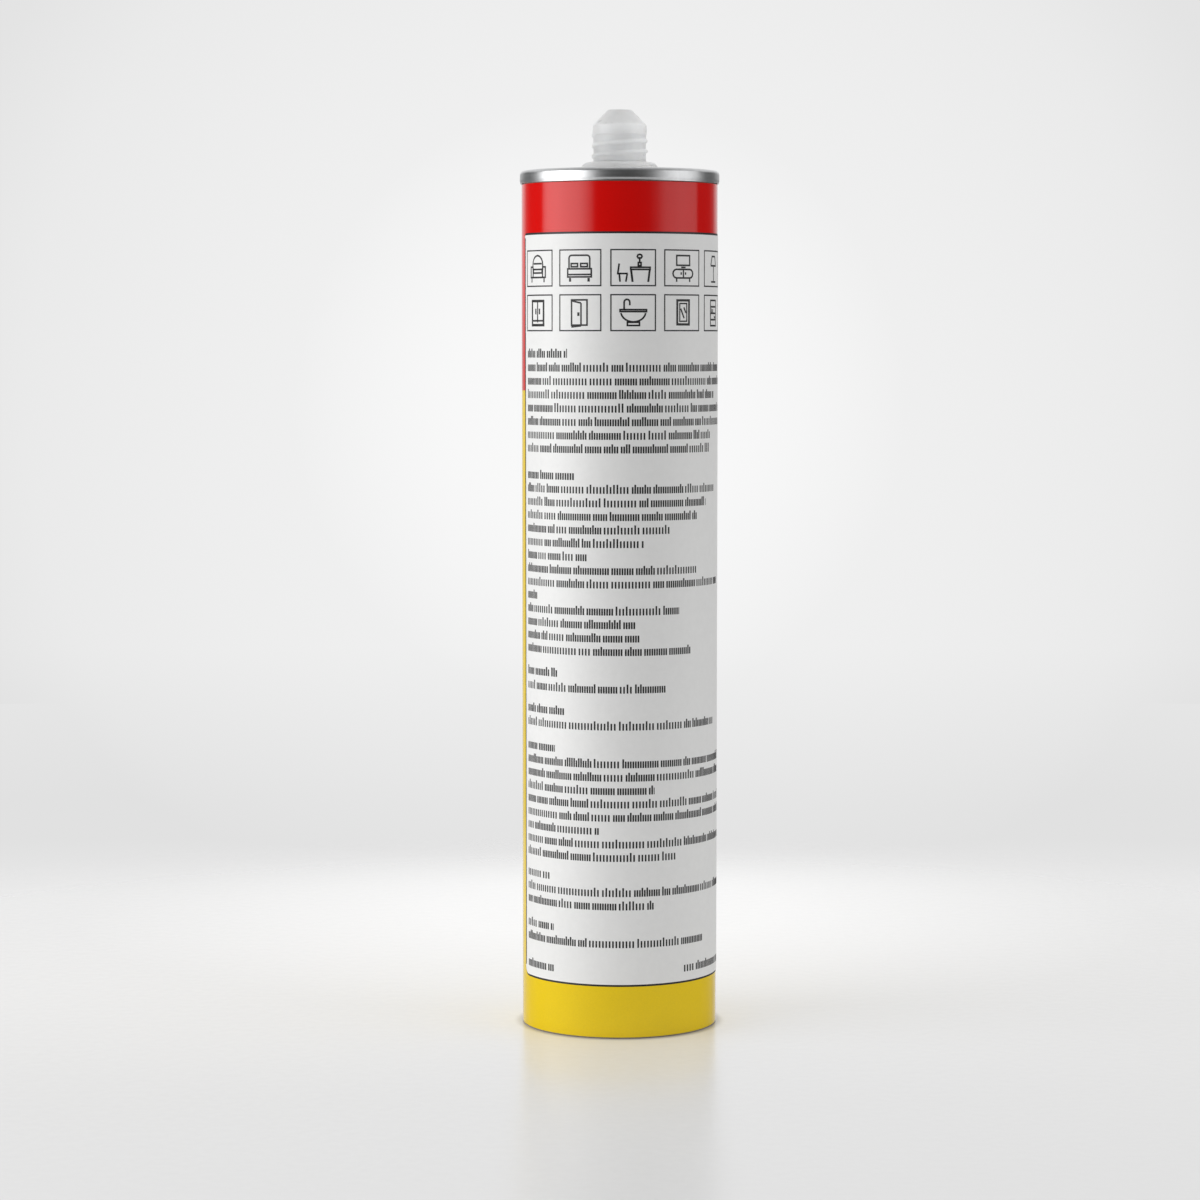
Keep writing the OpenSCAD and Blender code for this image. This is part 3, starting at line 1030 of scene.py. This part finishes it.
class CARTRIDGE_OT_piston(bpy.types.Operator):
    """Piston: beaded skirt, flared lip, ribs and boss"""

    bl_idname = "cartridge.piston"
    bl_label = "Piston"

    def execute(self, context):
        body = PISTON_R - 0.65
        cup = body - 1.5
        rib_z = PISTON_Z + 12
        web_z = PISTON_TOP - 2.2
        middle = PISTON_Z + (PISTON_TOP - PISTON_Z) / 2 - 1.9
        outline = softened(
            [
                (cup, PISTON_Z, 0.3),
                (body, PISTON_Z, 0.3),
                *bead(body, PISTON_Z),
                (body, middle, 0.5),
                *bead(body, middle),
                (body, PISTON_TOP - 5, 2),
                (PISTON_R, PISTON_TOP - 1.2, 1.5),
                (PISTON_R, PISTON_TOP, 0.15),
                (PISTON_R - 0.9, PISTON_TOP, 0.2),
                (cup + 0.4, PISTON_TOP - 2.8, 0.4),
                (cup - 0.8, PISTON_TOP - 2.8, 0.4),
                (cup - 1.6, PISTON_TOP, 0.4),
                (0, PISTON_TOP),
                (0, web_z),
                (cup - 3.2, web_z, 0.6),
                (cup - 1.6, web_z - 1.6, 0.6),
                (cup - 0.2, rib_z, 0.6),
            ],
            steps=4,
        )
        piece = lathe("piston", outline, steps=192)

        rib_w = sizes().rib / MM
        reach = cup + 0.2
        rib_top = web_z + 0.6
        rib = begin("piston_rib", bpy.ops.mesh.primitive_cube_add, size=1)
        bpy.ops.transform.resize(value=(reach, rib_w, rib_top - rib_z), center_override=(0, 0, 0))
        bpy.ops.transform.translate(value=(reach / 2, 0, (rib_top + rib_z) / 2))

        def free(edge):
            a, b = (point.co for point in edge.verts)
            return abs(a.z - b.z) < FINE and a.z < rib_z + 1 and abs(a.x - b.x) > 1

        # Moulded ribs have rounded free edges
        select(rib, "EDGE", free)
        bpy.ops.mesh.bevel(offset=0.3, segments=3)
        leave()
        copies = []
        for i in range(RIBS):
            only(rib)
            bpy.ops.object.duplicate(linked=False)
            copy = named(f"piston_rib_{i}")
            copy.rotation_euler.z = math.tau * i / RIBS
            copies.append(copy)
        bpy.data.objects.remove(rib)
        low, high = rib_z - 0.01, web_z + 0.8
        outline = softened([(0, low), (BOSS_R, low, 0.4), (BOSS_R, high), (0, high)], steps=4)
        boss = lathe("piston_boss", outline, steps=64)
        for part in [boss, *copies]:
            unite(piece, part)
        finish = moulded_plastic(
            "low_density_polyethylene", colours().piston, depth_mm=1.0, roughness=0.45, grain_mm=3
        )
        to_metres(piece, finish, sharp=35)
        finish_piece(piece, "plunger", "plunger_plastic", "plunger")
        return {"FINISHED"}


# Studio


def hang(light, turn, distance, height, aim):
    """Puts a light in the scene, a turn in radians from the front towards +X, aimed at a level of the axis.
    Gives its object."""
    lamp = bpy.data.objects.new(light.name, light)
    bpy.context.scene.collection.objects.link(lamp)
    lamp.location = (distance * math.sin(turn), -distance * math.cos(turn), height)
    way = Vector((0, 0, aim)) - lamp.location
    lamp.rotation_euler = way.to_track_quat("-Z", "Y").to_euler()
    return lamp


def soft_lamp(name, first, last, radiance, profile, distance=0.5, tall=0.45):
    """A tall lamp over a span of directions seen from the barrel, in degrees from the front towards +X.
    The profile gives its brightness from its first edge, towards the camera, to its last."""
    middle = math.radians((first + last) / 2)
    half = math.radians(abs(last - first) / 2)
    light = bpy.data.lights.new(name, "AREA")
    light.shape = "RECTANGLE"
    light.size = 2 * distance * math.tan(half)
    light.size_y = tall
    light.energy = radiance * math.pi * light.size * light.size_y
    add = empty_nodes(light)
    place = add("NewGeometry")["Parametric"]
    across = add("SeparateXYZ", {"Vector": place})
    stops = profile if last > first else [(1 - share, level) for share, level in reversed(profile)]
    strength = add("ValToRGB", {"Fac": across["X"]}, stops=stops)
    glow = add("Emission", {"Strength": strength["Color"]})
    add("OutputLight", {"Surface": glow[0]})
    hang(light, middle, distance, tall / 2, tall / 2).visible_camera = False


def snoot_lamp(name, azimuth, height, beam, watts, distance=0.5, above=0.05):
    """A narrow beam on the stub, so that its pale plastic doesn't fall into shade on the right."""
    light = bpy.data.lights.new(name, "SPOT")
    light.energy = watts
    light.spot_size = math.radians(beam)
    light.spot_blend = 0.5
    light.shadow_soft_size = 0.003
    hang(light, math.radians(azimuth), distance, height + above, height).visible_glossy = False


def studio_world():
    """Pale backdrop for the camera, the same room with a darker near side for reflections, and even fill."""
    world = bpy.data.worlds.new("pale_room")
    bpy.context.scene.world = world
    add = empty_nodes(world)
    way = add("TexCoord")["Generated"]
    axes = add("SeparateXYZ", {"Vector": way})
    glow = add("VectorMath", {0: way, 1: (0.0, 0.9998, -0.02)}, operation="DOT_PRODUCT")
    off_centre = add("MapRange", {"Value": glow["Value"], "From Min": 1.0, "From Max": 0.97})
    halo = [(0.0, 0.95), (0.027, 0.94), (0.13, 0.865), (0.45, 0.825), (0.65, 0.775), (1.0, 0.765)]
    backdrop = add("ValToRGB", {"Fac": off_centre["Result"]}, stops=halo)
    # The backdrop dims a little towards the table's far edge
    below = add("MapRange", {"Value": axes["Z"], "From Min": -0.18, "From Max": -0.08})
    dimming = [(0.0, 0.97), (0.12, 0.945), (0.23, 0.9), (0.3, 0.912), (0.45, 0.925), (0.9, 1.0)]
    dimmed = add("ValToRGB", {"Fac": below["Result"]}, stops=dimming)
    central = add("Math", {0: backdrop["Color"], 1: dimmed["Color"]}, operation="MULTIPLY")
    # Far to either side the table runs on as a pale band
    near_band = [(0.0, 0.87), (0.18, 0.86), (0.24, 0.81), (0.3, 0.775)]
    far_band = [(0.36, 0.753), (0.48, 0.753), (0.75, 0.787), (0.8, 0)]
    band = add("ValToRGB", {"Fac": below["Result"]}, stops=near_band + far_band)
    seen = add("Math", {0: central[0], 1: band["Color"]}, operation="MAXIMUM")
    # Even fill that grows towards the back
    growth = {"From Min": -1.0, "From Max": 1.0, "To Min": 0.25, "To Max": 0.8}
    fill = add("MapRange", {"Value": axes["Y"], **growth})
    # The varnish mirrors a dark near side and a room that brightens only close to the backdrop
    depth = add("MapRange", {"Value": axes["Y"], "From Min": -1.0, "From Max": 1.0})
    near_room = [(0.0, 0.02), (0.05, 0.03), (0.12, 0.1), (0.5, 0.09), (0.68, 0.05)]
    far_room = [(0.83, 0.06), (0.88, 0.16), (0.92, 0.21), (0.97, 0.45), (1.0, 0.75)]
    room = add("ValToRGB", {"Fac": depth["Result"]}, stops=near_room + far_room)
    # Straight down the rim's lower lip mirrors a bright table
    down = {"Value": axes["Z"], "From Min": -0.3, "From Max": -0.6}
    table = add("MapRange", down, interpolation_type="SMOOTHSTEP")
    lower = add("Mix", {0: table["Result"], 2: room["Color"], 3: 0.85}, data_type="FLOAT")
    # The rim's crown mirrors a ceiling that is paler towards the back
    up = {"Value": axes["Z"], "From Min": 0.15, "From Max": 0.5}
    overhead = add("MapRange", up, interpolation_type="SMOOTHSTEP")
    paler = {"From Min": -0.7, "From Max": 0.6, "To Min": 0.14, "To Max": 0.8}
    ceiling = add("MapRange", {"Value": axes["Y"], **paler})
    whole = add("Mix", {0: overhead["Result"], 2: lower[0], 3: ceiling["Result"]}, data_type="FLOAT")
    # The table mirrors the bright backdrop behind the cartridge
    upward = add("MapRange", {"Value": axes["Z"], "From Min": 0.02, "From Max": 0.1})
    far = add("MapRange", {"Value": axes["Y"], "From Min": 0.8, "From Max": 0.95})
    behind = add("Math", {0: upward["Result"], 1: far["Result"]}, operation="MULTIPLY")
    glossy = add("Mix", {0: behind[0], 2: whole[0], 3: 0.98}, data_type="FLOAT")
    path = add("LightPath")
    shiny = add("Math", {0: path["Is Glossy Ray"], 1: path["Is Transmission Ray"]}, operation="MAXIMUM")
    indirect = add("Mix", {0: shiny[0], 2: fill["Result"], 3: glossy[0]}, data_type="FLOAT")
    strength = add("Mix", {0: path["Is Camera Ray"], 2: indirect[0], 3: seen[0]}, data_type="FLOAT")
    sky = add("Background", {"Color": (1, 1, 1, 1), "Strength": strength[0]})
    add("OutputWorld", {"Surface": sky[0]})


def studio_floor():
    """White acrylic sheet that runs out softly into the backdrop: a faint gloss, a real shadow from the
    lamps, a painted glow laid out as a pool of painted light, and a painted contact shadow round the base.
    """
    material, add = new_material("white_acrylic_table")
    place = add("TexCoord")["Object"]
    away = add("VectorMath", {0: place}, operation="LENGTH")["Value"]
    edge = {"Value": away, "From Min": 0.215, "From Max": 0.33}
    fade = add("MapRange", edge, interpolation_type="SMOOTHSTEP")
    path = add("LightPath")
    # Painted contact shadow: the painted glow fades out just round the base, which paints a dark line of
    # contact round the cartridge
    contact_shade_ring = {"Value": away, "From Min": 0.0248, "From Max": 0.0272}
    painted_contact_shade = add("MapRange", contact_shade_ring, interpolation_type="SMOOTHSTEP")
    # A painted pool of light: the table's glow is brightest about 0.17 m behind the cartridge and falls off
    # further out
    behind = add("VectorMath", {0: place, 1: (0, -0.17, 0)}, operation="ADD")
    spread = add("VectorMath", {0: behind["Vector"]}, operation="LENGTH")
    reach = add("Math", {0: spread["Value"], 1: 0.34}, operation="DIVIDE")
    painted_pool_stops = [(0.0, 0.34), (0.15, 0.33), (0.48, 0.207), (0.8, 0.167), (1.0, 0.16)]
    painted_light_pool = add("ValToRGB", {"Fac": reach[0]}, stops=painted_pool_stops)
    # The left lamp is the stronger one, so the table's painted glow is weaker on that side, most of all in
    # front
    sides = add("SeparateXYZ", {"Vector": place})
    leftward = add("Math", {0: sides["X"], 1: -1.0}, operation="MULTIPLY", use_clamp=True)
    less = {"From Min": -0.12, "From Max": 0.05, "To Min": -0.4, "To Max": -0.07}
    rearward = add("MapRange", {"Value": sides["Y"], **less}, interpolation_type="SMOOTHSTEP")
    painted_light_sides = {0: leftward[0], 1: rearward["Result"], 2: painted_light_pool["Color"]}
    painted_floor_light = add("Math", painted_light_sides, operation="MULTIPLY_ADD")
    # The table's painted glow throws a little more light on the cartridge than the camera sees on it
    painted_thrown_glow = add("Math", {0: path["Is Camera Ray"], 1: -0.08, 2: 0.08}, operation="MULTIPLY_ADD")
    glow = add("Math", {0: painted_floor_light[0], 1: painted_contact_shade["Result"], 2: painted_thrown_glow[0]}, operation="MULTIPLY_ADD")
    grain = add("TexNoise", {"Vector": place, "Scale": per_metre(3), "Detail": 3.0})["Fac"]
    gloss = add("MapRange", {"Value": grain, **NOISE_SPAN, "To Min": 0.2, "To Max": 0.26})
    acrylic = {"Base Color": opaque(linear("#d2d2d2")), "Roughness": gloss["Result"], "IOR": 1.4}
    # The painted glow is the sheet's emission
    painted_glow_sockets = {"Emission Color": (1, 1, 1, 1), "Emission Strength": glow[0]}
    sheet = add("BsdfPrincipled", {**acrylic, **painted_glow_sockets})
    clear = add("BsdfTransparent")
    below = add("NewGeometry")["Backfacing"]
    # The barrel's varnish mirrors the dark near side of the room more than the table
    mirrored = add("Math", {0: path["Is Glossy Ray"], 1: 0.7}, operation="MULTIPLY")
    unseen = add("Math", {0: fade["Result"], 1: mirrored[0]}, operation="MAXIMUM")
    # Under the open mouth the table lets light into the bore
    mouth = add("Math", {0: away, 1: 0.0236}, operation="LESS_THAN")
    opened = add("Math", {0: mouth[0], 1: below}, operation="MAXIMUM")
    hidden = add("Math", {0: unseen[0], 1: opened[0]}, operation="MAXIMUM", use_clamp=True)
    mixed = add("MixShader", {0: hidden[0], 1: sheet[0], 2: clear[0]})
    add("OutputMaterial", {"Surface": mixed[0]})
    return material


FLOOR_R = 0.36
# A pinhole camera fitted to the photo: place in metres, degrees below level, and focal length in millimetres
CAMERA_PLACE = (-4.93 * MM, -874.3 * MM, 174.9 * MM)
CAMERA_DIP = 4.389
CAMERA_LENS = 103.6


class CARTRIDGE_OT_studio(bpy.types.Operator):
    """Pale floor, soft lamps, backdrop and camera"""

    bl_idname = "cartridge.studio"
    bl_label = "Studio"

    def execute(self, context):
        scene = context.scene
        scene.view_settings.view_transform = "Standard"

        disc = {"vertices": 96, "radius": FLOOR_R, "fill_type": "NGON"}
        floor = begin("studio_floor", bpy.ops.mesh.primitive_circle_add, **disc)
        bpy.ops.mesh.inset(thickness=0.06, depth=0)
        select_all()
        bpy.ops.transform.translate(value=(0, 0, -0.02 * MM))
        leave()
        floor.data.materials.append(studio_floor())

        left = [(0.0, 0.0), (0.12, 0.36), (0.28, 0.8), (0.42, 0.9), (0.65, 1.0), (0.85, 0.8), (1.0, 0.3)]
        right = [(0.0, 0.0), (0.15, 0.22), (0.32, 0.85), (0.6, 1.0), (1.0, 0.62)]
        soft_lamp("left_softbox", -29, -102, radiance=2.8, profile=left)
        soft_lamp("right_softbox", 35.5, 102, radiance=1.08, profile=right)
        snoot_lamp("stub_snoot", 42, height=(END_TOP + STUB_TOP) / 2 * MM, beam=2.3, watts=4.2)
        studio_world()

        camera_data = bpy.data.cameras.new("camera")
        camera = bpy.data.objects.new("camera", camera_data)
        scene.collection.objects.link(camera)
        camera.location = CAMERA_PLACE
        camera.rotation_euler = (math.radians(90 - CAMERA_DIP), 0, 0)
        camera_data.sensor_width = 36
        camera_data.lens = CAMERA_LENS
        camera_data.clip_start = 0.05
        camera_data.clip_end = 20
        scene.camera = camera
        return {"FINISHED"}


class CARTRIDGE_PT_panel(bpy.types.Panel):
    """Lists the cartridge's pieces, sizes and colours"""

    bl_idname = "CARTRIDGE_PT_panel"
    bl_label = "Cartridge"
    bl_space_type = "VIEW_3D"
    bl_region_type = "UI"
    bl_category = "Cartridge"

    def draw(self, context):
        layout = self.layout
        for operator in OPERATORS:
            layout.operator(operator.bl_idname)
        for group in (context.scene.cartridge_sizes, context.scene.cartridge_colours):
            column = layout.column()
            for key in group.__annotations__:
                column.prop(group, key)


OPERATORS = (
    CARTRIDGE_OT_barrel,
    CARTRIDGE_OT_wrap,
    CARTRIDGE_OT_label,
    CARTRIDGE_OT_outline,
    CARTRIDGE_OT_print,
    CARTRIDGE_OT_end,
    CARTRIDGE_OT_stub,
    CARTRIDGE_OT_fill,
    CARTRIDGE_OT_piston,
    CARTRIDGE_OT_studio,
)
CLASSES = (CartridgeSizes, CartridgeColours, *OPERATORS, CARTRIDGE_PT_panel)


def register():
    for kind in CLASSES:
        bpy.utils.register_class(kind)
    bpy.types.Scene.cartridge_sizes = bpy.props.PointerProperty(type=CartridgeSizes)
    bpy.types.Scene.cartridge_colours = bpy.props.PointerProperty(type=CartridgeColours)


def unregister():
    del bpy.types.Scene.cartridge_colours
    del bpy.types.Scene.cartridge_sizes
    for kind in reversed(CLASSES):
        bpy.utils.unregister_class(kind)


def main():
    register()
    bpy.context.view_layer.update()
    bpy.ops.cartridge.barrel()
    bpy.ops.cartridge.wrap()
    bpy.ops.cartridge.label()
    bpy.ops.cartridge.outline()
    bpy.ops.cartridge.print()
    bpy.ops.cartridge.end()
    bpy.ops.cartridge.stub()
    bpy.ops.cartridge.fill()
    bpy.ops.cartridge.piston()
    bpy.ops.cartridge.studio()


if __name__ == "__main__":
    main()
